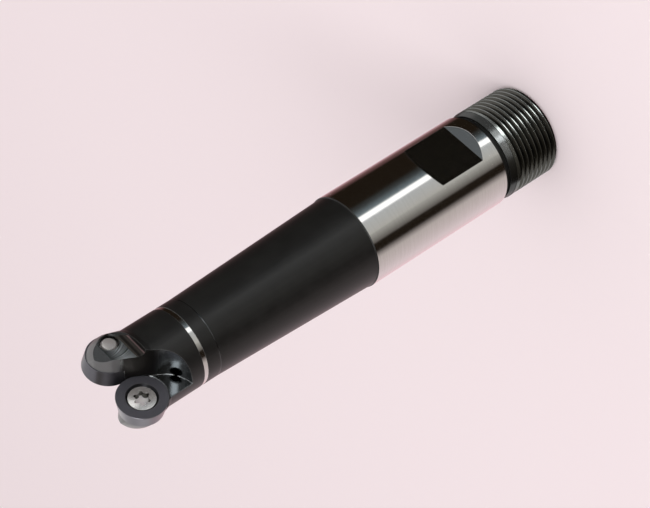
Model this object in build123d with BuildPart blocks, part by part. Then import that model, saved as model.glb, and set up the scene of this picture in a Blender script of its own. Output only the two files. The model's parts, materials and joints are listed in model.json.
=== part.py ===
from build123d import *

import os
from math import acos, atan2, cos, hypot, radians, sin, sqrt, tan

# Copy milling cutter with two round inserts on a screwed shank that also has a side-lock flat.
# Millimetres. Z is the tool axis, from 0 at the screwed end face up to the cutting tip.
# X runs across the two inserts. The tool is the same after half a turn about Z.

# ------------------------------------------------------------------ driving dimensions

overall_length = 110.0

# Round inserts: the two cutting edges meet on the tool axis
insert_diameter = 10.0
insert_thickness = 3.18
insert_relief = 11.0  # degrees between the insert's flank and its axis
insert_bore = 4.0
insert_edge_land = 0.06  # chamfer along the cutting edge
rake_lead = 0.32  # rake face ahead of the plane through the tool axis

# Insert screws
screw_diameter = 3.5
screw_head_diameter = 5.4
screw_head_angle = 60.0  # included angle of the conical head
screw_head_rim = 0.35  # straight rim above the cone
screw_head_recess = 0.4  # top of the head below the rake face
screw_tip_chamfer = 0.45
screw_tip_recess = 0.5  # end of the screw inside the heel face
socket_across_tips = 3.35  # six-lobe socket
socket_across_valleys = 2.4
socket_valley_radius = 0.7
socket_depth = 1.35

# Shank
shank_diameter = 20.0
shank_length = 50.0  # screwed end face to the neck
shank_edge_chamfer = 0.2
thread_length = 11.9
thread_inset = 0.125  # crest of the screw thread inside the ground surface
thread_pitch = 1.27  # 20 threads per inch
thread_depth = 0.813
thread_crest = 0.18  # flat left on the crest
thread_start_land = 0.05  # between the end of the groove and the plain ring
thread_end_angle = 60.0  # degrees round the tool axis, where the groove ends
thread_end_chamfer = 0.685
lead_in_width = 1.6  # plain ring between the thread and the undercut
lead_in_inset = 0.25
lead_in_taper = 0.15  # fall of the ring's radius towards the undercut
undercut_width = 1.26
undercut_depth = 0.9

# Side-lock flat
flat_distance = 8.25  # flat to the tool axis
flat_start = 19.0
flat_length = 11.0
flat_ramp_angle = 45.0  # degrees between the ramps at its ends and the tool axis

# Neck and head
neck_step = 0.18  # neck inside the shank, where a chamfer joins them
head_diameter = 16.82
head_drop = 16.2  # start of the plain head below the insert centres
ring_drop = 13.2  # start of the shallow ground ring below the insert centres
ring_width = 0.97
ring_depth = 0.06
flare_drop = 4.3  # start of the flare below the insert centres
lobe_setback = 0.5  # turned lobe inside the cutting edge

# Gashes, one in front of each insert
web_thickness = 0.7  # metal left between the two gashes
gash_lean = 28.1  # degrees between the gash wall and the tool axis
gash_drop = 9.32  # foot of the gash below the insert centres
gash_radius = 7.0  # curve from the wall out to the foot
flank_setback = 0.75  # gash wall inside the cutting edge, where it rounds the other lobe

# Insert pockets and the lobes behind them
pocket_clearance = 0.02  # between the insert's flank and the pocket wall
pocket_end_angle = 225.0  # degrees round the insert, from the tool axis, where the wall ends
lobe_thickness = 3.74  # insert seat to the heel face
heel_runout_radius = 1.5
heel_runout_rise = -1.75  # start of the heel face against the insert centres
heel_bevel_rise = 2.2  # start of the bevel above the insert centres
heel_bevel_angle = 32.0  # degrees
screw_hole_clearance = 0.03
screw_hole_chamfer = 0.2

# Coolant supply
coolant_bore = 4.0
coolant_bore_drop = 6.1  # end of the bore below the foot of the gash
coolant_cross_drop = 0.5  # start of the outlets' cross holes below the end of the bore
coolant_outlet_diameter = 2.3
coolant_outlet_rise = 1.25  # outlet above the foot of the gash
coolant_outlet_offset = 1.5  # outlet to the plane through the tool axis
drill_point_angle = 118.0
centre_diameter = 8.0  # centre countersink in the screwed end face
centre_angle = 60.0

cut_margin = 3.0  # how far cutting shapes run past the stock

# ------------------------------------------------------------------ sizes that follow

insert_radius = insert_diameter / 2
insert_offset = insert_radius
insert_height = overall_length - insert_radius
insert_taper = tan(radians(insert_relief))
seat_radius = insert_radius - (insert_thickness - insert_edge_land) * insert_taper
seat_depth = insert_thickness - rake_lead
heel_depth = seat_depth + lobe_thickness
stock_radius = max(shank_diameter / 2, insert_offset + insert_radius) + cut_margin
stock_top = overall_length + cut_margin

shank_radius = shank_diameter / 2
head_radius = head_diameter / 2
lobe_radius = insert_radius - lobe_setback
flank_radius = insert_radius - flank_setback
thread_radius = shank_radius - thread_inset
thread_root_radius = thread_radius - thread_depth
lead_in_radius = shank_radius - lead_in_inset
undercut_radius = shank_radius - undercut_depth
undercut_start = thread_length + lead_in_width
undercut_end = undercut_start + undercut_width
flat_depth = shank_radius - flat_distance
head_start = insert_height - head_drop
ring_start = insert_height - ring_drop

# Flare: a straight line from the plain head, tangent to the turned lobe
flare_start_angle = atan2(-flare_drop, head_radius - insert_offset)
flare_reach = hypot(flare_drop, head_radius - insert_offset)
flare_end_angle = flare_start_angle + acos(lobe_radius / flare_reach)
flare_end = (
    insert_offset + lobe_radius * cos(flare_end_angle),
    insert_height + lobe_radius * sin(flare_end_angle),
)

# Gash outline, in the plane across the inserts, with the cut side at -X
lean = radians(gash_lean)
wall_top_x = insert_offset - flank_radius * cos(lean)
wall_top_z = insert_height + flank_radius * sin(lean)
gash_foot_z = insert_height - gash_drop
gash_curve_z = gash_foot_z + gash_radius
wall_foot_z = gash_curve_z - gash_radius * sin(lean)
wall_foot_x = wall_top_x - (wall_top_z - wall_foot_z) * tan(lean)
gash_curve_x = wall_foot_x - gash_radius * cos(lean)
notch_foot_z = wall_top_z - wall_top_x / tan(lean)

# Coolant bore, and its outlet on the curve of the gash wall
coolant_bore_end = gash_foot_z - coolant_bore_drop
outlet_z = gash_foot_z + coolant_outlet_rise
outlet_x = gash_curve_x + sqrt(gash_radius**2 - (outlet_z - gash_curve_z) ** 2)

# Screw head, measured from the plane through the tool axis towards the rake face
head_slope = tan(radians(screw_head_angle / 2))
head_top = rake_lead - screw_head_recess
head_cone_top = head_top - screw_head_rim
head_cone_foot = head_cone_top - (screw_head_diameter - screw_diameter) / 2 / head_slope
screw_tip = screw_tip_recess - heel_depth

SIDES = (("a", 1), ("b", -1))  # the second side is the first turned half a turn about Z


def facing_plane(side, height):
    """Plane across the inserts, `height` ahead of the tool axis on the side that `side` names.

    Its X runs from that side's insert towards the axis, and its Y is the tool axis.
    """
    return Plane(origin=(0, -side * height, 0), x_dir=(side, 0, 0), z_dir=(0, -side, 0))


def insert_section_plane(side):
    """Plane through an insert's own axis: X is the distance from it, Y is ahead of the tool axis."""
    return Plane(
        origin=(-side * insert_offset, 0, insert_height),
        x_dir=(side, 0, 0),
        z_dir=(0, 0, -1),
    )


def insert_axis(side):
    return Axis((-side * insert_offset, 0, insert_height), (0, -side, 0))


os.makedirs("parts", exist_ok=True)

# ------------------------------------------------------------------ tool body

with BuildPart() as tool_body:
    # Turned stock: screwed end, undercut, ground shank, tapered neck, plain head, flared lobes
    with BuildSketch(Plane.XZ):
        with BuildLine():
            stock = Polyline(
                (0, 0),
                (thread_radius - thread_end_chamfer, 0),
                (thread_radius, thread_end_chamfer),
                (thread_radius, thread_length),
                (lead_in_radius, thread_length),
                (lead_in_radius - lead_in_taper, undercut_start),
                (undercut_radius, undercut_start),
                (undercut_radius, undercut_end),
                (shank_radius - shank_edge_chamfer, undercut_end),
                (shank_radius, undercut_end + shank_edge_chamfer),
                (shank_radius, shank_length),
                (shank_radius - neck_step, shank_length + neck_step),
                (head_radius, head_start),
                (head_radius, ring_start),
                (head_radius - ring_depth, ring_start),
                (head_radius - ring_depth, ring_start + ring_width),
                (head_radius, ring_start + ring_width),
                (head_radius, insert_height - flare_drop),
            )
            flare = Line(stock @ 1, flare_end)
            crown = TangentArc(
                flare @ 1, (insert_offset, insert_height + lobe_radius), tangent=flare % 1
            )
            Line(crown @ 1, (0, insert_height + lobe_radius))
            Line((0, insert_height + lobe_radius), (0, 0))
        make_face()
    revolve(axis=Axis.Z)

    # Side-lock flat, with a ramp up to the ground surface at each end
    ramp_out = (flat_depth + cut_margin) / tan(radians(flat_ramp_angle))
    with BuildSketch(Plane.YZ):
        with BuildLine():
            Polyline(
                (-flat_distance, flat_start),
                (-flat_distance, flat_start + flat_length),
                (-shank_radius - cut_margin, flat_start + flat_length + ramp_out),
                (-shank_radius - cut_margin, flat_start - ramp_out),
                (-flat_distance, flat_start),
            )
        make_face()
    extrude(amount=shank_radius, both=True, mode=Mode.SUBTRACT)

    # Gashes: a leaning wall that rounds the other lobe at its top and sweeps outwards at its foot
    for name, side in SIDES:
        with BuildSketch(facing_plane(side, web_thickness / 2)):
            with BuildLine():
                crest = Line((stock_radius, insert_height + flank_radius),
                             (insert_offset, insert_height + flank_radius))
                shoulder = TangentArc(crest @ 1, (wall_top_x, wall_top_z), tangent=crest % 1)
                wall = Line(shoulder @ 1, (wall_foot_x, wall_foot_z))
                sweep_out = TangentArc(wall @ 1, (gash_curve_x, gash_foot_z), tangent=wall % 1)
                Polyline(
                    sweep_out @ 1,
                    (-stock_radius, gash_foot_z),
                    (-stock_radius, stock_top),
                    (stock_radius, stock_top),
                    crest @ 0,
                )
            make_face()
        extrude(amount=stock_radius, mode=Mode.SUBTRACT)

    # Notch through the web, where the two gashes cross above the inserts' meeting point
    with BuildSketch(Plane.XZ):
        with BuildLine():
            right_slope = Line((0, notch_foot_z), (wall_top_x, wall_top_z))
            right_round = TangentArc(
                right_slope @ 1, (insert_offset, insert_height + flank_radius),
                tangent=right_slope % 1,
            )
            left_slope = Line((0, notch_foot_z), (-wall_top_x, wall_top_z))
            left_round = TangentArc(
                left_slope @ 1, (-insert_offset, insert_height + flank_radius),
                tangent=left_slope % 1,
            )
            Polyline(
                right_round @ 1,
                (insert_offset, stock_top),
                (-insert_offset, stock_top),
                left_round @ 1,
            )
        make_face()
    extrude(amount=web_thickness / 2, both=True, mode=Mode.SUBTRACT)

    for name, side in SIDES:
        # Insert pocket: a tapered recess with a flat seat, open at the tip and on the outside
        with BuildSketch(facing_plane(side, -seat_depth)):
            with Locations((-insert_offset, insert_height)):
                Circle(seat_radius + pocket_clearance)
        extrude(amount=seat_depth + web_thickness, taper=-insert_relief, mode=Mode.SUBTRACT)
        end_x = -insert_offset + insert_radius * cos(radians(pocket_end_angle))
        end_z = insert_height + insert_radius * sin(radians(pocket_end_angle))
        with BuildSketch(facing_plane(side, -seat_depth)):
            with BuildLine():
                Polyline(
                    (-insert_offset, insert_height),
                    (0, insert_height),
                    (0, stock_top),
                    (-stock_radius, stock_top),
                    (-stock_radius, end_z),
                    (end_x, end_z),
                    (-insert_offset, insert_height),
                )
            make_face()
        extrude(amount=seat_depth + web_thickness, mode=Mode.SUBTRACT)

        # Heel of the lobe: milled flat with a rounded run-out, then bevelled towards the tip
        heel_plane = Plane(
            origin=(-side * stock_radius, 0, insert_height),
            x_dir=(0, side, 0),
            z_dir=(side, 0, 0),
        )
        bevel_run = (stock_top - insert_height - heel_bevel_rise) * tan(radians(heel_bevel_angle))
        with BuildSketch(heel_plane):
            with BuildLine():
                bevel = Line((heel_depth - bevel_run, stock_top - insert_height),
                             (heel_depth, heel_bevel_rise))
                heel = Line(bevel @ 1, (heel_depth, heel_runout_rise))
                runout = TangentArc(
                    heel @ 1,
                    (heel_depth + heel_runout_radius, heel_runout_rise - heel_runout_radius),
                    tangent=heel % 1,
                )
                Polyline(
                    runout @ 1,
                    (stock_radius, heel_runout_rise - heel_runout_radius),
                    (stock_radius, stock_top - insert_height),
                    bevel @ 0,
                )
            make_face()
        extrude(amount=2 * stock_radius, mode=Mode.SUBTRACT)

        # Screw hole through the lobe, its rim broken at the heel
        hole_radius = screw_diameter / 2 + screw_hole_clearance
        with BuildSketch(insert_section_plane(side)):
            with BuildLine():
                Polyline(
                    (0, 0),
                    (hole_radius, 0),
                    (hole_radius, screw_hole_chamfer - heel_depth),
                    (hole_radius + screw_hole_chamfer, -heel_depth),
                    (hole_radius + screw_hole_chamfer, -heel_depth - cut_margin),
                    (0, -heel_depth - cut_margin),
                    (0, 0),
                )
            make_face()
        revolve(axis=insert_axis(side), mode=Mode.SUBTRACT)

        # Coolant outlet, drilled from the gash wall down to the bore on the axis
        outlet = Vector(side * outlet_x, -side * coolant_outlet_offset, outlet_z)
        cross_start = Vector(0, 0, coolant_bore_end - coolant_cross_drop)
        drill = outlet - cross_start
        with BuildSketch(Plane(origin=cross_start, z_dir=drill)):
            Circle(coolant_outlet_diameter / 2)
        extrude(amount=drill.length + cut_margin, mode=Mode.SUBTRACT)

    # Coolant bore from the screwed end, with its centre countersink and drill point
    with BuildSketch(Plane.XZ):
        with BuildLine():
            Polyline(
                (0, 0),
                (centre_diameter / 2, 0),
                (coolant_bore / 2, (centre_diameter - coolant_bore) / 2 / tan(radians(centre_angle / 2))),
                (coolant_bore / 2, coolant_bore_end),
                (0, coolant_bore_end + coolant_bore / 2 / tan(radians(drill_point_angle / 2))),
                (0, 0),
            )
        make_face()
    revolve(axis=Axis.Z, mode=Mode.SUBTRACT)

# Screw thread: one right-hand V groove, swept along its helix from below the end face. It is cut
# from just outside the crests, where its neighbouring turns don't meet yet.
groove_over = 0.08
groove_half = (thread_pitch - thread_crest) / 2 * (thread_depth + groove_over) / thread_depth
groove_top = thread_length - thread_start_land - groove_half
groove_height = groove_top + thread_pitch
groove_turn = thread_end_angle - 360 * groove_height / thread_pitch

with BuildPart() as thread_groove:
    with BuildLine():
        helix = Helix(
            pitch=thread_pitch, height=groove_height, radius=thread_root_radius,
            center=(0, 0, -thread_pitch),
        )
    with BuildSketch(Plane(helix @ 0, x_dir=(1, 0, 0), z_dir=helix % 0)):
        with BuildLine():
            Polyline(
                (0, 0),
                (thread_depth + groove_over, -groove_half),
                (thread_depth + groove_over, groove_half),
                (0, 0),
            )
        make_face()
    sweep(is_frenet=True)

with tool_body:
    add(thread_groove.part.rotate(Axis.Z, groove_turn), mode=Mode.SUBTRACT)

tool_body.part.label = "tool_body"
export_step(tool_body.part, "parts/tool_body.step")

# ------------------------------------------------------------------ inserts and their screws

for name, side in SIDES:
    # The screw head's conical seat opens at the rake face; the relieved flank runs down to the seat
    cone_radius = screw_head_diameter / 2 + pocket_clearance
    mouth_radius = cone_radius + (rake_lead - head_cone_top) * head_slope
    bore_top = head_cone_top - (cone_radius - insert_bore / 2) / head_slope
    with BuildPart() as insert:
        with BuildSketch(insert_section_plane(side)):
            with BuildLine():
                Polyline(
                    (insert_bore / 2, -seat_depth),
                    (seat_radius, -seat_depth),
                    (insert_radius, rake_lead - insert_edge_land),
                    (insert_radius - insert_edge_land, rake_lead),
                    (mouth_radius, rake_lead),
                    (insert_bore / 2, bore_top),
                    (insert_bore / 2, -seat_depth),
                )
            make_face()
        revolve(axis=insert_axis(side))
    insert.part.label = "insert_" + name
    export_step(insert.part, "parts/insert_" + name + ".step")

    with BuildPart() as insert_screw:
        with BuildSketch(insert_section_plane(side)):
            with BuildLine():
                Polyline(
                    (0, head_top),
                    (screw_head_diameter / 2, head_top),
                    (screw_head_diameter / 2, head_cone_top),
                    (screw_diameter / 2, head_cone_foot),
                    (screw_diameter / 2, screw_tip + screw_tip_chamfer),
                    (screw_diameter / 2 - screw_tip_chamfer, screw_tip),
                    (0, screw_tip),
                    (0, head_top),
                )
            make_face()
        revolve(axis=insert_axis(side))

        # Six-lobe socket
        with BuildSketch(facing_plane(side, head_top)):
            with Locations((-insert_offset, insert_height)):
                Circle(socket_across_tips / 2)
                with PolarLocations(socket_across_valleys / 2 + socket_valley_radius, 6):
                    Circle(socket_valley_radius, mode=Mode.SUBTRACT)
        extrude(amount=-socket_depth, mode=Mode.SUBTRACT)
    insert_screw.part.label = "insert_screw_" + name
    export_step(insert_screw.part, "parts/insert_screw_" + name + ".step")
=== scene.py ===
# %% [markdown]
# # A copy milling cutter with two round inserts
# The tool body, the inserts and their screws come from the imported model. This lesson gives each of
# them the finish of the real thing and sets up a plain pale studio. Everything is in metres, with
# Z along the tool from its screwed end. Shader values are in millimetres where a name says so.

import json
from math import atan2, cos, degrees, radians, sin

import bpy
import numpy as np
from mathutils import Matrix, Vector

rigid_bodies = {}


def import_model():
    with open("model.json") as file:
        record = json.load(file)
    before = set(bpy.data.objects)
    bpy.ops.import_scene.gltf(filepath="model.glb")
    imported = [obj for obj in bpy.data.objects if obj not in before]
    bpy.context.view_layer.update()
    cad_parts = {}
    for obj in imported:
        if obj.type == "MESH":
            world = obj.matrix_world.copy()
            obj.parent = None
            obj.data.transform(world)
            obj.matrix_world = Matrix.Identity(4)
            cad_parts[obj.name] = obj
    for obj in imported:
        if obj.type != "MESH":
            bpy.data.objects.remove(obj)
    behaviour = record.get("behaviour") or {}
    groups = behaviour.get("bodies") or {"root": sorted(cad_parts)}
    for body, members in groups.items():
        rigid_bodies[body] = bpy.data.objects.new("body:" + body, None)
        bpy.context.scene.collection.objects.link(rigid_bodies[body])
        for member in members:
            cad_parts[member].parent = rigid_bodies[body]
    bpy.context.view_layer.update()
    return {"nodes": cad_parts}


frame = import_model()
nodes = frame["nodes"]
print("nodes:", sorted(nodes))

MM = 0.001

# %% [markdown]
# ## The camera
# The view looks down on the tool from the side of the side-lock flat, with the picture turned so
# that the tool's tip points to the lower left. A long lens keeps the shank nearly parallel. Three
# angles and a position say all of it: the camera's own axes are worked out from them.

# %% camera
camera_position = Vector((-206.42, -366.68, 285.66)) * MM
look_azimuth = radians(60.606)
look_elevation = radians(-28.726)
picture_turn = radians(-122.22)
lens_mm = 136.49

forward = Vector((
    cos(look_elevation) * cos(look_azimuth),
    cos(look_elevation) * sin(look_azimuth),
    sin(look_elevation),
))
level_right = forward.cross(Vector((0, 0, 1))).normalized()
level_up = level_right.cross(forward)
right = cos(picture_turn) * level_right + sin(picture_turn) * level_up
up = right.cross(forward)
camera_turn = Matrix((right, up, -forward)).transposed().to_4x4()

camera_data = bpy.data.cameras.new("camera")
camera_data.lens = lens_mm
camera_data.sensor_fit = "HORIZONTAL"
camera_data.clip_start = 0.01
camera = bpy.data.objects.new("camera", camera_data)
camera.matrix_world = Matrix.Translation(camera_position) @ camera_turn
bpy.context.scene.collection.objects.link(camera)
bpy.context.scene.camera = camera
bpy.context.scene.view_settings.view_transform = "Standard"
camera_azimuth = degrees(atan2(camera_position.y, camera_position.x))
print("camera stands at azimuth", round(camera_azimuth, 1))

# %% [markdown]
# ## Surfaces from arrays
# Every new piece here is an open sheet of points worked out with numpy. One helper turns such a
# grid into a mesh: neighbouring rows and columns are joined by quads.

# %% grid helper
def grid_faces(rows, columns):
    """Quads between neighbours of a rows x columns grid whose points are numbered row by row."""
    row = np.arange(rows - 1)[:, None]
    column = np.arange(columns - 1)[None, :]
    corners = (
        row * columns + column,
        row * columns + column + 1,
        (row + 1) * columns + column + 1,
        (row + 1) * columns + column,
    )
    return np.stack(corners, -1).reshape(-1, 4)


def grid_object(name, points, smooth):
    """A mesh object from an array of points shaped (rows, columns, 3)."""
    rows, columns, _ = points.shape
    mesh = bpy.data.meshes.new(name)
    mesh.from_pydata(points.reshape(-1, 3).tolist(), [], grid_faces(rows, columns).tolist())
    mesh.polygons.foreach_set("use_smooth", np.full(len(mesh.polygons), smooth))
    mesh.update()
    piece = bpy.data.objects.new(name, mesh)
    bpy.context.scene.collection.objects.link(piece)
    return piece


print("a grid of 3 x 4 points has", len(grid_faces(3, 4)), "quads")

# %% [markdown]
# ## Materials from small groups
# A shader is a chain of nodes. Effects that several finishes share are made once as a group with
# named inputs, and each material places the group with its own values. These helpers keep the
# wiring readable.

# %% node helpers
def new_material(name):
    """A material with an empty node tree, its Principled shader and its output."""
    material = bpy.data.materials.new(name)
    material.use_nodes = True
    tree = material.node_tree
    tree.nodes.clear()
    output = tree.nodes.new("ShaderNodeOutputMaterial")
    shader = tree.nodes.new("ShaderNodeBsdfPrincipled")
    tree.links.new(shader.outputs["BSDF"], output.inputs["Surface"])
    return material, tree, shader


def new_group(name, inputs, outputs):
    """A shader node group; inputs are (name, default) pairs, and outputs are names of numbers."""
    group = bpy.data.node_groups.new(name, "ShaderNodeTree")
    for label, default in inputs:
        socket = group.interface.new_socket(label, in_out="INPUT", socket_type="NodeSocketFloat")
        socket.default_value = default
    for label in outputs:
        group.interface.new_socket(label, in_out="OUTPUT", socket_type="NodeSocketFloat")
    return group, group.nodes.new("NodeGroupInput"), group.nodes.new("NodeGroupOutput")


def use_group(tree, group, **values):
    """Places a group; keyword names are its inputs, with _ for a space."""
    node = tree.nodes.new("ShaderNodeGroup")
    node.node_tree = group
    for label, value in values.items():
        put(tree, value, node.inputs[label.replace("_", " ")])
    return node


def dress(names, material):
    """Gives the named CAD nodes one material."""
    for name in names:
        nodes[name].data.materials.clear()
        nodes[name].data.materials.append(material)


def put(tree, value, socket):
    """Feeds a socket with another socket, or sets it to a plain value."""
    if isinstance(value, bpy.types.NodeSocket):
        tree.links.new(value, socket)
    else:
        socket.default_value = value


def calc(tree, operation, *values, clamp=False):
    """The result of one Math node."""
    node = tree.nodes.new("ShaderNodeMath")
    node.operation = operation
    node.use_clamp = clamp
    for value, socket in zip(values, node.inputs):
        put(tree, value, socket)
    return node.outputs[0]


# %% [markdown]
# A Mix node holds sockets for numbers, vectors and colours side by side, so each kind has its own
# places in the node's lists of inputs and outputs.

# %% mixing helpers
def mixed(tree, kind, share, first, second):
    """The value that goes from first to second as share goes from 0 to 1."""
    first_input, output = {"FLOAT": (2, 0), "VECTOR": (4, 1), "RGBA": (6, 2)}[kind]
    node = tree.nodes.new("ShaderNodeMix")
    node.data_type = kind
    put(tree, share, node.inputs["Factor"])
    put(tree, first, node.inputs[first_input])
    put(tree, second, node.inputs[first_input + 1])
    return node.outputs[output]


def blend(tree, share, first, second):
    """A colour between first and second."""
    return mixed(tree, "RGBA", share, first, second)


def lerp(tree, share, first, second):
    """A number between first and second."""
    return mixed(tree, "FLOAT", share, first, second)


def lean(tree, share, first, second):
    """A normal between first and second."""
    return mixed(tree, "VECTOR", share, first, second)


def millimetres(tree):
    """Object coordinates in millimetres."""
    coordinates = tree.nodes.new("ShaderNodeTexCoord")
    scaled = tree.nodes.new("ShaderNodeVectorMath")
    scaled.operation = "SCALE"
    scaled.inputs["Scale"].default_value = 1 / MM
    tree.links.new(coordinates.outputs["Object"], scaled.inputs[0])
    return scaled.outputs[0]


def separated(tree, vector):
    """The X, Y and Z of a vector, as the outputs of one node."""
    node = tree.nodes.new("ShaderNodeSeparateXYZ")
    tree.links.new(vector, node.inputs[0])
    return node.outputs


def bumped(tree, shader, height, distance, strength=1.0, normal=None):
    """Bump on the shader's normal, with height in units of distance."""
    bump = tree.nodes.new("ShaderNodeBump")
    bump.inputs["Strength"].default_value = strength
    bump.inputs["Distance"].default_value = distance
    tree.links.new(height, bump.inputs["Height"])
    if normal is not None:
        tree.links.new(normal, bump.inputs["Normal"])
    tree.links.new(bump.outputs["Normal"], shader.inputs["Normal"])


# %% [markdown]
# A mask is a number that is 1 on one machined surface and 0 on the others. Masks come from
# comparisons, and they are joined as sets are: both, either, and one without the other.

# %% mask helpers
def above(tree, value, limit):
    """1 where value is over the limit, else 0."""
    return calc(tree, "GREATER_THAN", value, limit)


def below(tree, value, limit):
    """1 where value is under the limit, else 0."""
    return calc(tree, "LESS_THAN", value, limit)


def both(tree, *masks):
    """The product of the masks: 1 where all of them are 1."""
    product = masks[0]
    for mask in masks[1:]:
        product = calc(tree, "MULTIPLY", product, mask)
    return product


def either(tree, *masks):
    """The greatest of the masks: 1 where any of them is 1."""
    greatest = masks[0]
    for mask in masks[1:]:
        greatest = calc(tree, "MAXIMUM", greatest, mask)
    return greatest


def without(tree, mask, hole):
    """The mask with the hole taken out of it."""
    return calc(tree, "SUBTRACT", mask, hole, clamp=True)


def between(tree, value, low, high):
    """1 where value lies between low and high, else 0."""
    return both(tree, above(tree, value, low), below(tree, value, high))


def ramp(tree, value, low, high):
    """0 below low and 1 above high, with an even rise between."""
    return calc(tree, "DIVIDE", calc(tree, "SUBTRACT", value, low), high - low, clamp=True)


def falling(tree, value, low, high):
    """1 below low and 0 above high, with an even fall between."""
    return calc(tree, "SUBTRACT", 1.0, ramp(tree, value, low, high))


# %% [markdown]
# ## Shared effects
# A turned or ground cylinder carries very fine lines round it: noise squeezed along the axis and
# drawn out round it. Black oxide is faintly cloudy. Sharp corners lose their coating first, and a
# bevelled normal that differs from the true one finds those corners. The place on the tool tells
# one machined surface from the next.

# %% group: lines round the axis
round_lines, entry, leave = new_group(
    "lines round the axis", [("Lines per mm", 6.0), ("Drift", 0.15)], ["Height"]
)
at = separated(round_lines, millimetres(round_lines))
stretch = round_lines.nodes.new("ShaderNodeCombineXYZ")
for axis, factor in (("X", "Drift"), ("Y", "Drift"), ("Z", "Lines per mm")):
    stretched = calc(round_lines, "MULTIPLY", at[axis], entry.outputs[factor])
    put(round_lines, stretched, stretch.inputs[axis])
noise = round_lines.nodes.new("ShaderNodeTexNoise")
noise.inputs["Scale"].default_value = 1.0
noise.inputs["Detail"].default_value = 4.0
noise.inputs["Roughness"].default_value = 0.65
round_lines.links.new(stretch.outputs[0], noise.inputs["Vector"])
round_lines.links.new(noise.outputs["Fac"], leave.inputs["Height"])
print("group:", round_lines.name)

# %% group: clouds
clouds, entry, leave = new_group("clouds", [("Size mm", 3.0), ("Contrast", 1.0)], ["Amount"])
noise = clouds.nodes.new("ShaderNodeTexNoise")
noise.inputs["Detail"].default_value = 5.0
clouds.links.new(millimetres(clouds), noise.inputs["Vector"])
put(clouds, calc(clouds, "DIVIDE", 1.0, entry.outputs["Size mm"]), noise.inputs["Scale"])
centred = calc(clouds, "SUBTRACT", noise.outputs["Fac"], 0.5)
spread = calc(clouds, "MULTIPLY", centred, entry.outputs["Contrast"])
put(clouds, calc(clouds, "ADD", spread, 0.5, clamp=True), leave.inputs["Amount"])
print("group:", clouds.name)

# %% group: worn corners
worn_corners, entry, leave = new_group(
    "worn corners", [("Width mm", 0.12), ("Gain", 6.0)], ["Mask"]
)
bevel = worn_corners.nodes.new("ShaderNodeBevel")
bevel.samples = 4
corner_width = calc(worn_corners, "MULTIPLY", entry.outputs["Width mm"], MM)
put(worn_corners, corner_width, bevel.inputs["Radius"])
surface = worn_corners.nodes.new("ShaderNodeNewGeometry")
likeness = worn_corners.nodes.new("ShaderNodeVectorMath")
likeness.operation = "DOT_PRODUCT"
worn_corners.links.new(bevel.outputs["Normal"], likeness.inputs[0])
worn_corners.links.new(surface.outputs["True Normal"], likeness.inputs[1])
unlike = calc(worn_corners, "SUBTRACT", 1.0, likeness.outputs["Value"])
worn_mask = calc(worn_corners, "MULTIPLY", unlike, entry.outputs["Gain"], clamp=True)
put(worn_corners, worn_mask, leave.inputs["Mask"])
print("group:", worn_corners.name)

# %% group: place on the tool
# Height along the axis, distance from it and from the middle plane, and how the surface faces. The
# share of the normal that points round the axis is 0 all over a turned surface, so `Off turned`
# is `|normal_y * x - normal_x * y| / radius`.
placed, entry, leave = new_group(
    "place on the tool", [], ["Height", "Radius", "Off middle", "Off turned", "Facing Y"]
)
at = separated(placed, millimetres(placed))
x, y = at["X"], at["Y"]
radius = calc(placed, "SQRT", calc(placed, "MULTIPLY_ADD", x, x, calc(placed, "MULTIPLY", y, y)))
normal = separated(placed, placed.nodes.new("ShaderNodeTexCoord").outputs["Normal"])
across = calc(placed, "MULTIPLY", normal["X"], y)
across = calc(placed, "SUBTRACT", calc(placed, "MULTIPLY", normal["Y"], x), across)
off_turned = calc(placed, "ABSOLUTE", calc(placed, "DIVIDE", across, radius))
put(placed, at["Z"], leave.inputs["Height"])
put(placed, radius, leave.inputs["Radius"])
put(placed, calc(placed, "ABSOLUTE", y), leave.inputs["Off middle"])
put(placed, off_turned, leave.inputs["Off turned"])
put(placed, calc(placed, "ABSOLUTE", normal["Y"]), leave.inputs["Facing Y"])
print("group:", placed.name)

# %% group: cutter marks
# An end mill fed over the heel of a lobe leaves arcs, all with the cutter's radius and each a
# feed further on. The arc through a point starts at `along - sqrt(radius^2 - across^2)`, where
# along and across are measured from the first centre, along the feed and across it. The second
# heel is the first turned half a turn about Z.
feed_x, feed_z = -0.56, -0.83

cutter_marks, entry, leave = new_group(
    "cutter marks",
    [("First X mm", 6.0), ("First Z mm", 105.1), ("Cutter radius mm", 4.8), ("Marks per mm", 2.2)],
    ["Height", "Inward"],
)
at = separated(cutter_marks, millimetres(cutter_marks))
side = calc(cutter_marks, "MULTIPLY", calc(cutter_marks, "SIGN", at["Y"]), -1.0)
first_x = calc(cutter_marks, "MULTIPLY", entry.outputs["First X mm"], -1.0)
from_x = calc(cutter_marks, "MULTIPLY_ADD", at["X"], side, first_x)
from_z = calc(cutter_marks, "SUBTRACT", at["Z"], entry.outputs["First Z mm"])
along = calc(cutter_marks, "MULTIPLY", from_z, feed_z)
along = calc(cutter_marks, "MULTIPLY_ADD", from_x, feed_x, along)
across = calc(cutter_marks, "MULTIPLY", from_z, -feed_x)
across = calc(cutter_marks, "MULTIPLY_ADD", from_x, feed_z, across)
cutter_radius = entry.outputs["Cutter radius mm"]
square = calc(cutter_marks, "MULTIPLY", cutter_radius, cutter_radius)
square = calc(cutter_marks, "SUBTRACT", square, calc(cutter_marks, "MULTIPLY", across, across))
reach = calc(cutter_marks, "SQRT", calc(cutter_marks, "MAXIMUM", square, 0.0))
start = calc(cutter_marks, "SUBTRACT", along, reach)
marks = cutter_marks.nodes.new("ShaderNodeTexNoise")
marks.noise_dimensions = "1D"
marks.inputs["Scale"].default_value = 1.0
marks.inputs["Detail"].default_value = 2.0
marks.inputs["Roughness"].default_value = 0.6
fed = calc(cutter_marks, "MULTIPLY", start, entry.outputs["Marks per mm"])
cutter_marks.links.new(fed, marks.inputs["W"])
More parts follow.
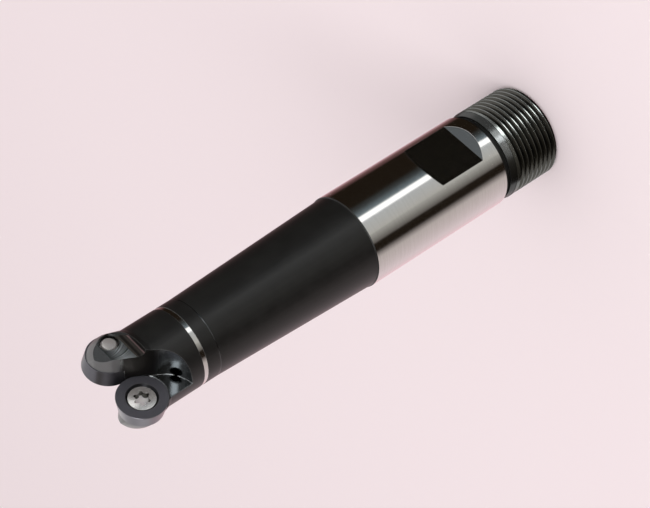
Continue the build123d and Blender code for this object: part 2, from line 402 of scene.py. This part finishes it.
cutter_marks.links.new(marks.outputs["Fac"], leave.inputs["Height"])
put(cutter_marks, calc(cutter_marks, "MULTIPLY", at["X"], side), leave.inputs["Inward"])
print("group:", cutter_marks.name)

# %% group: distance from the screw
# Both insert screws stand across the tool, one on each side of the axis, so the distance from the
# nearer screw's axis is the same formula for both: `sqrt((|x| - screw_x)^2 + (z - screw_z)^2)`.
screw_x, screw_z = 5.0, 105.0

from_screw, entry, leave = new_group("distance from the screw", [], ["Distance"])
at = separated(from_screw, millimetres(from_screw))
from_x = calc(from_screw, "SUBTRACT", calc(from_screw, "ABSOLUTE", at["X"]), screw_x)
from_z = calc(from_screw, "SUBTRACT", at["Z"], screw_z)
square = calc(from_screw, "MULTIPLY", from_z, from_z)
square = calc(from_screw, "MULTIPLY_ADD", from_x, from_x, square)
put(from_screw, calc(from_screw, "SQRT", square), leave.inputs["Distance"])
print("group:", from_screw.name)

# %% [markdown]
# ## The tool body
# One steel body carries four finishes. The neck is turned, and black oxide dulls it. The gashes,
# the heels of the lobes and the side-lock flat are milled, and the same oxide shines on them. The
# shank and one narrow ring are ground bright, and the screwed end is dark with bright crests.
# They meet at machined edges, so the place on the tool chooses the colour, metal and roughness.

# %% places on the body
# Heights are from the screwed end and limits are radii from the axis, all in millimetres.
insert_height = screw_z  # a screw stands in the middle of its insert
shank_radius, head_radius = 10.0, 8.41
skin, step = 0.04, 0.21  # how far inside its radius a turned surface and a shallow step may lie
bore_limit, centre_limit = 5.0, 4.2  # nearer the axis lie the coolant bore and the centre
thread_top, plain_ring_top = 11.9, 13.5
crest_limit, plain_ring_limit = 9.8, 9.3
undercut_top, shank_top = 14.76, 50.0
flat_low, flat_high = 17.2, 31.8  # with the ramps at its ends
flat_edge_reach, flat_edge_limit = 0.4, 8.0  # past the flat's ends, and from the middle plane
crease_height, crease_half = 88.8, 0.07  # where the neck meets the plain head
ring_low, ring_high = 91.8, 92.77
gash_foot = 95.6
gash_top = insert_height - 3.0
lobe_start = insert_height - 1.0
print("ground shank:", undercut_top, "to", shank_top, "mm; gashes from", gash_foot, "mm")

# %% turned and ground zones
body_finish, tree, shader = new_material("body_steel")
place = use_group(tree, placed).outputs
height, radius, off_middle = place["Height"], place["Radius"], place["Off middle"]
facing = place["Facing Y"]

inside_surface = between(tree, radius, bore_limit, shank_radius - skin)
on_flat = both(tree, between(tree, height, flat_low, flat_high), inside_surface)
shank_outside = above(tree, radius, shank_radius - step)
on_shank = both(tree, between(tree, height, undercut_top, shank_top), shank_outside)
on_shank = without(tree, on_shank, on_flat)
head_outside = above(tree, radius, head_radius - step)
on_ring = both(tree, between(tree, height, ring_low, ring_high), head_outside)
on_crease = between(tree, height, crease_height - crease_half, crease_height + crease_half)
on_thread = both(tree, below(tree, height, thread_top), above(tree, radius, centre_limit))
on_crest = both(tree, on_thread, above(tree, radius, crest_limit))
on_plain_ring = both(
    tree, between(tree, height, thread_top, plain_ring_top), above(tree, radius, plain_ring_limit)
)
bright = either(tree, on_shank, on_ring)
screwed = either(tree, on_thread, on_plain_ring)
turned_over_edge = either(tree, on_crest, on_plain_ring)
print("turned and ground zones:", len(tree.nodes), "nodes")

# %% [markdown]
# The head is turned first and milled afterwards. Up to the lobes, what still lies on the head's
# radius is turned, and on the lobes it is what has no share of its normal round the axis. All
# else above the gashes' feet is milled, and its masks come from where it lies and how it faces.

# %% milled zones
off_turned_limit = 0.15
lobe_facing, heel_facing = 0.84, 0.995  # shares of the normal along Y
wall_facing, runout_facing = 0.6, 0.2
heel_depth = 4.5  # from the middle plane

turned_form = both(
    tree, below(tree, place["Off turned"], off_turned_limit), below(tree, facing, lobe_facing)
)
low_outside = both(
    tree, below(tree, height, lobe_start), above(tree, radius, head_radius - skin)
)
high_outside = both(tree, above(tree, height, lobe_start), turned_form)
on_milled = without(
    tree, above(tree, height, gash_foot), either(tree, low_outside, high_outside)
)
milled = either(tree, on_milled, on_flat)

outer = both(tree, on_milled, above(tree, off_middle, heel_depth))
on_heel = both(tree, outer, above(tree, facing, heel_facing))
runout_heights = between(tree, height, insert_height - 4.0, insert_height - 0.5)
# the concave run-out below each heel, which is painted dark as shade
on_runout = both(
    tree, outer, between(tree, facing, runout_facing, heel_facing), runout_heights
)
glint_side, glint_edge = between(tree, facing, 0.3, 0.5), ramp(tree, radius, 6.6, 8.4)
on_glint = both(tree, on_runout, glint_side, glint_edge)
in_gash = both(tree, on_milled, below(tree, height, gash_top))
print("milled zones:", len(tree.nodes), "nodes")

# %% [markdown]
# The wall of a gash is painted unevenly. Its middle is painted dark as shade, since it looks at the
# insert across the gash, and above the insert's screw a painted grey band stands for the light that
# comes in from the tip, with the tip's rim.

# %% zones of painted shade and light on the gash's wall
band_low, band_high = insert_height + 0.2, insert_height + 1.4
wall_low, wall_full = insert_height - 6.6, insert_height - 4.6
rim_radius, rim_height = 2.0, insert_height - 0.4

sideways = both(tree, on_milled, below(tree, facing, wall_facing))
painted_light_tip_rim = both(tree, above(tree, height, rim_height), turned_form, above(tree, radius, rim_radius))
painted_light_band = either(tree, both(tree, sideways, ramp(tree, height, band_low, band_high)), painted_light_tip_rim)
wall_heights = both(
    tree, ramp(tree, height, wall_low, wall_full), falling(tree, height, band_low, band_high)
)
painted_shade_wall = both(tree, sideways, wall_heights)
print("wall of the gash:", wall_low, "to", band_high, "mm")

# %% [markdown]
# Wear, texture and painted highlights come next. The two gashes leave a thin wall between them,
# whose corner carries a painted highlight, broken in places. The heels keep the arcs of the cutter,
# strongest near the screw, and their inner edge carries a painted highlight. The oxide is cloudy on
# the neck, speckled on milled faces and mottled on the flat, so one group of clouds is placed three
# times, each with its own size and contrast.

# %% texture, wear and painted highlights of the body
worn = use_group(tree, worn_corners, Width_mm=0.09, Gain=4.0).outputs["Mask"]
cloud = use_group(tree, clouds, Size_mm=2.5, Contrast=1.2).outputs["Amount"]
speck = use_group(tree, clouds, Size_mm=0.5, Contrast=1.6).outputs["Amount"]
mottle = use_group(tree, clouds, Size_mm=1.2, Contrast=3.0).outputs["Amount"]
lines = use_group(tree, round_lines, Lines_per_mm=5.0, Drift=0.12).outputs["Height"]

worn_share = 0.5
corner_depth, corner_top = 0.6, insert_height - 3.5
lightly_worn = both(tree, worn, worn_share)
near_corner = both(tree, below(tree, off_middle, corner_depth), below(tree, height, corner_top))
# a painted highlight along the corner of the gash, broken by the specks
painted_corner_highlight = both(tree, worn, on_milled, near_corner, ramp(tree, speck, 0.3, 0.6))
edge_heights = between(tree, height, flat_low - flat_edge_reach, flat_high + flat_edge_reach)
flat_edge = both(tree, worn, edge_heights, above(tree, off_middle, flat_edge_limit))
print("texture and wear:", len(tree.nodes), "nodes")

# %% arcs of the cutter and a painted edge highlight on the heels
arc_gain, arc_offset = 4.0, -1.5  # turn the even noise of the marks into narrow arcs
arcs_fade, arcs_end = insert_height - 0.2, insert_height + 2.2
highlight_full, highlight_end = 0.3, 1.5  # distances along X from the tool's axis
low_share = 0.3  # strength of the arcs below the screw

marks = use_group(tree, cutter_marks).outputs
# a painted highlight along the heel's inner edge, where the face curves towards the light
painted_edge_highlight = falling(tree, marks["Inward"], highlight_full, highlight_end)
arcs_and_highlight = calc(tree, "MULTIPLY_ADD", marks["Height"], arc_gain, arc_offset, clamp=True)
arcs_and_highlight = both(tree, arcs_and_highlight, falling(tree, height, arcs_fade, arcs_end))
arcs_and_highlight = either(tree, arcs_and_highlight, both(tree, painted_edge_highlight, 0.9))
near_screw = ramp(tree, height, insert_height - 2.0, insert_height)
strength = calc(tree, "MULTIPLY_ADD", near_screw, 1 - low_share, low_share)
arcs_and_highlight = both(tree, arcs_and_highlight, strength)
print("arcs of the cutter:", len(tree.nodes), "nodes")

# %% [markdown]
# Each zone has its own colour, and the zones are laid over one another like coats of paint: the
# turned black of the neck is first, and each mask puts its own colour over what is there.

# %% colours of the body
turned_black = blend(tree, cloud, (0.004, 0.0038, 0.0033, 1), (0.009, 0.009, 0.008, 1))
milled_black = blend(tree, speck, (0.15, 0.156, 0.159, 1), (0.19, 0.199, 0.204, 1))
flat_black = blend(tree, mottle, (0.14, 0.125, 0.1, 1), (0.22, 0.2, 0.165, 1))
flat_ramp = both(tree, on_flat, below(tree, facing, 0.95))
heel_black = blend(tree, arcs_and_highlight, (0.1, 0.108, 0.11, 1), (0.85, 0.9, 0.92, 1))
ground = blend(tree, lines, (0.62, 0.61, 0.59, 1), (0.75, 0.745, 0.73, 1))
groove = blend(tree, cloud, (0.085, 0.084, 0.074, 1), (0.115, 0.114, 0.1, 1))
crest = blend(tree, lines, (0.2, 0.21, 0.2, 1), (0.3, 0.31, 0.3, 1))
plain_ring = blend(tree, lines, (0.09, 0.092, 0.09, 1), (0.13, 0.133, 0.13, 1))
print("colours of the body:", len(tree.nodes), "nodes")

# %% coats of the body
coats = (
    (on_crease, (0.11, 0.115, 0.12, 1)),
    (milled, milled_black),
    (on_flat, flat_black),
    (flat_ramp, (0.135, 0.15, 0.155, 1)),
    # painted shade on the middle of the gash's wall
    (painted_shade_wall, (0.035, 0.032, 0.03, 1)),
    # painted light: a grey band above the screw and on the tip's rim
    (painted_light_band, (0.13, 0.13, 0.13, 1)),
    # the heels' arcs, with a painted highlight on their inner edge
    (on_heel, heel_black),
    # painted shade on the concave run-out
    (on_runout, (0.04, 0.036, 0.032, 1)),
    (on_glint, (0.3, 0.2, 0.2, 1)),
    (lightly_worn, (0.32, 0.33, 0.33, 1)),
    # painted highlight along the corner of the gash
    (painted_corner_highlight, (0.5, 0.52, 0.53, 1)),
    (bright, ground),
    (flat_edge, (0.012, 0.01, 0.008, 1)),
    (on_thread, groove),
    (on_crest, crest),
    (on_plain_ring, plain_ring),
)
colour = turned_black
for mask, coat in coats:
    colour = blend(tree, mask, colour, coat)
put(tree, colour, shader.inputs["Base Color"])
print("coats of colour:", len(coats))

# %% [markdown]
# Bare and oxidised steel both mirror as metal does. The oxide of the turned neck is thick and matt,
# so it isn't metallic. The painted highlight in the gash's corner and the painted light band of its
# wall scatter light as well as mirror it, so they are metallic in part. Ground steel is the
# smoothest, then the milled faces and the thread, and the neck is the roughest.

# %% metal and roughness of the body
metal = either(tree, bright, milled, screwed, lightly_worn, on_crease)
corner_scatter, band_scatter = both(tree, painted_corner_highlight, 0.7), both(tree, painted_light_band, 0.65)
dull = either(tree, corner_scatter, band_scatter, flat_edge)
put(tree, without(tree, metal, dull), shader.inputs["Metallic"])

roughness_coats = (
    (on_crease, 0.2),
    (milled, lerp(tree, speck, 0.14, 0.18)),
    (on_flat, 0.2),
    (either(tree, painted_shade_wall, painted_light_band, on_heel), 0.36),
    (bright, lerp(tree, lines, 0.08, 0.15)),
    (screwed, 0.2),
)
roughness = lerp(tree, cloud, 0.35, 0.43)
for mask, coat in roughness_coats:
    roughness = lerp(tree, mask, roughness, coat)
put(tree, roughness, shader.inputs["Roughness"])
shader.inputs["Specular IOR Level"].default_value = 0.4
print("coats of roughness:", len(roughness_coats))

# %% [markdown]
# The last part is the relief. Tool marks are far too shallow to model, so they are a bump of a few
# thousandths of a millimetre. In the gashes a Bevel node runs the foot's curve into the floor, as
# the cutter's corner does. The crests of the thread are turned over towards the tip, so their
# normals lean that way, and so do those of the plain ring.

# %% relief of the body
relief_height = 0.0025
corner_radius = 0.35 * MM
crest_lean = 0.55

milled_relief = lerp(tree, on_heel, both(tree, speck, 0.25), both(tree, arcs_and_highlight, 3.0))
relief = both(tree, lerp(tree, on_milled, lines, milled_relief), relief_height)

cutter_corner = tree.nodes.new("ShaderNodeBevel")
cutter_corner.samples = 8
cutter_corner.inputs["Radius"].default_value = corner_radius
surface = tree.nodes.new("ShaderNodeNewGeometry").outputs["Normal"]
turned_over = tree.nodes.new("ShaderNodeVectorMath")
turned_over.inputs[1].default_value = (0.0, 0.0, crest_lean)
tree.links.new(surface, turned_over.inputs[0])
normal = lean(tree, in_gash, surface, cutter_corner.outputs["Normal"])
normal = lean(tree, turned_over_edge, normal, turned_over.outputs["Vector"])
bumped(tree, shader, relief, MM, normal=normal)
dress(["tool_body"], body_finish)
print("body finish:", len(tree.nodes), "nodes")

# %% [markdown]
# ## Inserts
# The inserts are coated carbide, dark with a faint violet cast. The pressed rake face is duller
# than the ground flank, and the coat is thin on the cutting edge. Shade is painted dark on the wall
# of the screw's hole and on the middle of the flank, where the other insert is near. One material
# serves both inserts, because each is the other turned half a turn about the axis.

# %% insert finish
rake_facing = 0.9
hole_reach = 3.6  # from the screw's axis, in millimetres
shade_full, shade_end = 0.5, 1.3  # distances along X from the tool's axis, in millimetres
shade_share = 0.85

carbide, tree, shader = new_material("coated_carbide")
on_rake = above(tree, use_group(tree, placed).outputs["Facing Y"], rake_facing)
reach = use_group(tree, from_screw).outputs["Distance"]
hole_wall = without(tree, below(tree, reach, hole_reach), on_rake)
off_axis = calc(tree, "ABSOLUTE", separated(tree, millimetres(tree))["X"])
inner_flank = without(tree, falling(tree, off_axis, shade_full, shade_end), on_rake)
# painted shade: dark on the wall of the screw's hole and on the inner flank
insert_painted_shade = either(tree, hole_wall, both(tree, inner_flank, shade_share))

cloud = use_group(tree, clouds, Size_mm=0.8, Contrast=0.8).outputs["Amount"]
speck = use_group(tree, clouds, Size_mm=0.15, Contrast=1.4).outputs["Amount"]
worn = use_group(tree, worn_corners, Width_mm=0.08, Gain=4.0).outputs["Mask"]
flank_coat = blend(tree, cloud, (0.135, 0.133, 0.152, 1), (0.17, 0.167, 0.182, 1))
rake_coat = blend(tree, cloud, (0.078, 0.08, 0.093, 1), (0.098, 0.1, 0.113, 1))
coat = blend(tree, on_rake, flank_coat, rake_coat)
# the painted shade goes over the coat
coat = blend(tree, insert_painted_shade, coat, (0.03, 0.03, 0.034, 1))
coat = blend(tree, both(tree, worn, worn_share), coat, (0.4, 0.4, 0.4, 1))
put(tree, coat, shader.inputs["Base Color"])

flank_roughness = lerp(tree, cloud, 0.26, 0.34)
rake_roughness = lerp(tree, speck, 0.34, 0.44)
put(tree, lerp(tree, on_rake, 0.9, 0.45), shader.inputs["Metallic"])
put(tree, lerp(tree, on_rake, flank_roughness, rake_roughness), shader.inputs["Roughness"])
bumped(tree, shader, speck, 0.002 * MM, 0.5)
dress(["insert_a", "insert_b"], carbide)
print("insert finish:", len(tree.nodes), "nodes")

# %% [markdown]
# ## Screws
# The screws are bright steel. The head is crowned by less than the solid shows, so a bump that
# falls with the square of the distance from the screw's axis bends its normals: the height is
# `-distance^2 / (2 * crown radius)`, and the slope grows evenly towards the rim. The walls of the
# socket are painted dark as shade. Its floor is painted near white and not metallic, as a painted
# highlight.

# %% screw finish
crown_radius = 12.0
socket_reach = 1.72  # from the screw's axis
floor_low, floor_high = 1.0, 2.0  # distances from the middle plane that hold the socket's floor
socket_wall_facing, socket_floor_facing = 0.7, 0.9

screw_steel, tree, shader = new_material("screw_steel")
place = use_group(tree, placed).outputs
facing, off_middle = place["Facing Y"], place["Off middle"]
reach = use_group(tree, from_screw).outputs["Distance"]
crown = calc(tree, "MULTIPLY", reach, reach)
crown = calc(tree, "MULTIPLY", crown, -1 / (2 * crown_radius))
in_socket = below(tree, reach, socket_reach)
# painted shade on the socket's walls and a painted highlight on its floor
painted_shade_socket_wall = both(tree, below(tree, facing, socket_wall_facing), in_socket)
at_floor = both(tree, in_socket, between(tree, off_middle, floor_low, floor_high))
painted_highlight_socket_floor = both(tree, above(tree, facing, socket_floor_facing), at_floor)

cloud = use_group(tree, clouds, Size_mm=0.8, Contrast=0.8).outputs["Amount"]
steel = blend(tree, cloud, (0.8, 0.79, 0.76, 1), (0.88, 0.875, 0.85, 1))
# the socket's walls get painted shade and its floor a painted highlight
steel = blend(tree, painted_shade_socket_wall, steel, (0.09, 0.09, 0.08, 1))
steel = blend(tree, painted_highlight_socket_floor, steel, (1.0, 1.0, 0.99, 1))
put(tree, steel, shader.inputs["Base Color"])
put(tree, lerp(tree, painted_highlight_socket_floor, 0.75, 0.0), shader.inputs["Metallic"])
put(tree, lerp(tree, cloud, 0.2, 0.26), shader.inputs["Roughness"])
bumped(tree, shader, crown, MM)
dress(["insert_screw_a", "insert_screw_b"], screw_steel)
print("screw finish:", len(tree.nodes), "nodes")

# %% [markdown]
# ## The studio
# A plain pale floor and a soft sky of the same tone light the tool evenly. Bright metal only looks
# like metal when it has something to mirror, so a few cards stand far round it, as in a product
# studio: they are seen in reflections and nowhere else.

# %% floor
# The floor's point (u, v) is (u, v, 0), and two values of u and of v are enough for a square.
floor_half = 6.0
ends = [-floor_half, floor_half]
across, along = np.meshgrid(ends, ends)
floor_points = np.stack([across, along, np.zeros_like(across)], -1)
floor = grid_object("floor", floor_points, smooth=False)
floor_finish, tree, shader = new_material("pale_floor")
shader.inputs["Base Color"].default_value = (0.93, 0.82, 0.84, 1)
shader.inputs["Roughness"].default_value = 0.9
shader.inputs["Specular IOR Level"].default_value = 0.1
floor.data.materials.append(floor_finish)
floor.visible_glossy = False
print("floor:", 2 * floor_half, "m across")

# %% sky
world = bpy.data.worlds.new("studio")
bpy.context.scene.world = world
world.use_nodes = True
sky = world.node_tree.nodes["Background"]
sky.inputs["Color"].default_value = (1.0, 0.97, 0.975, 1)
sky.inputs["Strength"].default_value = 0.75
print("sky strength:", sky.inputs["Strength"].default_value)

# %% [markdown]
# Each card carries its own light as a colour on its points, so one material serves them all. The
# light can fade along a card, which gives the round shank its soft borders.

# %% light of the cards
card_finish = bpy.data.materials.new("card_light")
card_finish.use_nodes = True
card_tree = card_finish.node_tree
card_tree.nodes.clear()
output = card_tree.nodes.new("ShaderNodeOutputMaterial")
glow = card_tree.nodes.new("ShaderNodeEmission")
light_here = card_tree.nodes.new("ShaderNodeAttribute")
light_here.attribute_name = "light"
card_tree.links.new(light_here.outputs["Color"], glow.inputs["Color"])
card_tree.links.new(glow.outputs[0], output.inputs["Surface"])
card_finish.cycles.emission_sampling = "NONE"  # only mirrors look for the cards
print("light of the cards:", card_finish.name)

# %% card helper
card_radius = 1.2
card_columns, card_rows = 25, 9


def studio_card(name, azimuths, elevations, first, last=None):
    """Part of a wide cylinder round the tool, seen only in reflections.

    The point at azimuth a and elevation e is (r cos a, r sin a, r tan e), with r = card_radius.
    The light that it gives goes evenly from first to last along it, and each of the two is a
    (red, green, blue).
    """
    around = np.radians(np.linspace(*azimuths, card_columns))[None, :]
    rise = np.tan(np.radians(np.linspace(*elevations, card_rows)))[:, None]
    points = np.stack(np.broadcast_arrays(
        card_radius * np.cos(around), card_radius * np.sin(around), card_radius * rise
    ), -1)
    card = grid_object(name, points, smooth=True)
    share = np.tile(np.linspace(0.0, 1.0, card_columns), card_rows)[:, None]
    light = np.ones((card_rows * card_columns, 4))
    light[:, :3] = (1 - share) * np.array(first) + share * np.array(last or first)
    layer = card.data.color_attributes.new("light", "FLOAT_COLOR", "POINT")
    layer.data.foreach_set("color", light.ravel())
    card.data.materials.append(card_finish)
    card.visible_camera = False
    card.visible_diffuse = False
    card.visible_shadow = False
    card.visible_transmission = False
    card.visible_volume_scatter = False


print("points on a card:", card_rows * card_columns)

# %% [markdown]
# The view looks down on the shank, so it mirrors what lies below the horizon: a bright strip and a
# soft box in front, the dark of a room on both sides of them, and a pale table behind. The thread,
# the gashes and the lobes mirror what lies above it: a window and a skylight, a grey wall, a glow
# from behind, and the dark of a hall with its ceiling. The loft and the ceiling keep the pale sky
# out of the gash.

# %% colours of the cards
umber = (0.016, 0.011, 0.007)
slate = (0.055, 0.062, 0.064)
pewter = (0.21, 0.26, 0.29)
silver = (0.58, 0.60, 0.61)
cream = (0.57, 0.555, 0.52)
taupe = (0.13, 0.115, 0.105)
flint = (0.46, 0.45, 0.42)
smoke = (0.3, 0.3, 0.3)
bark = (0.2, 0.18, 0.15)
rafters = (0.12, 0.1, 0.07)
russet = (0.2, 0.1, 0.1)
table_far = (0.62, 0.55, 0.53)
table_near = (0.90, 0.75, 0.78)
rose = (0.95, 0.62, 0.67)
white, dull_white = (1.0, 1.0, 1.0), (0.9, 0.9, 0.9)
strip_light, strip_dim = (1.7, 1.7, 1.7), (1.6, 1.6, 1.6)
daylight, sunlight = (5.4, 5.7, 5.7), (10.0, 10.4, 10.7)
back_light = (1.25, 1.2, 1.2)
print("brightest card:", max(sunlight))

# %% reflection cards
low, horizon = -78, -4  # degrees of elevation
front_top, strip_top = -8, 12

studio_card("card_dark_front", (-58, 6), (low, front_top), umber)
studio_card("card_front_fade", (-72, -58), (low, front_top), slate, umber)
studio_card("card_front_light", (-72, -30), (front_top, 14), white, dull_white)
studio_card("card_strip_fade", (-89, -72), (low, strip_top), pewter, slate)
studio_card("card_bright_strip", (-102, -89), (low, strip_top), strip_light, strip_dim)
studio_card("card_soft_box", (-136, -102), (low, horizon), cream, silver)
studio_card("card_side_fade", (-158, -136), (low, horizon), taupe, flint)
studio_card("card_dark_side", (-176, -158), (low, horizon), umber)
studio_card("card_table_fade", (166, 184), (low, horizon), table_far, umber)
studio_card("card_table_far", (112, 166), (low, horizon), table_near, table_far)
studio_card("card_table_near", (60, 112), (low, horizon), rose, table_near)
studio_card("card_table_edge", (24, 60), (low, horizon), russet, rose)
studio_card("card_table_fold", (6, 24), (low, horizon), umber, russet)
studio_card("card_dark_room", (-117, -102), (horizon, 14), umber)
studio_card("card_dark_hall", (-222, -117), (horizon, 62), umber, bark)
studio_card("card_skylight", (-106, -84), (14, 30), daylight)
studio_card("card_grey_wall", (-84, -20), (14, 44), smoke)
studio_card("card_window", (-115, -101), (31, 42), sunlight)
studio_card("card_back_glow", (50, 110), (horizon, 18), back_light)
studio_card("card_dark_loft", (95, 138), (46, 80), rafters)
studio_card("card_dark_ceiling", (138, 243), (62, 80), rafters)

# %% [markdown]
# One square lamp faces the middle of the tool and gives it a soft shadow on the floor. It is weak,
# because the sky lights the tool already.

# %% lamp
lamp_position = Vector((-0.6, -0.5, 0.9))
lamp_target = Vector((0, 0, 0.055))
lamp_side, lamp_power = 0.6, 5.0

lamp_data = bpy.data.lights.new("key", "AREA")
lamp_data.shape = "SQUARE"
lamp_data.size = lamp_side
lamp_data.energy = lamp_power
lamp = bpy.data.objects.new("key", lamp_data)
lamp_turn = (lamp_position - lamp_target).to_track_quat("Z", "Y").to_matrix().to_4x4()
lamp.matrix_world = Matrix.Translation(lamp_position) @ lamp_turn
bpy.context.scene.collection.objects.link(lamp)
print("lamp:", lamp_power, "W")
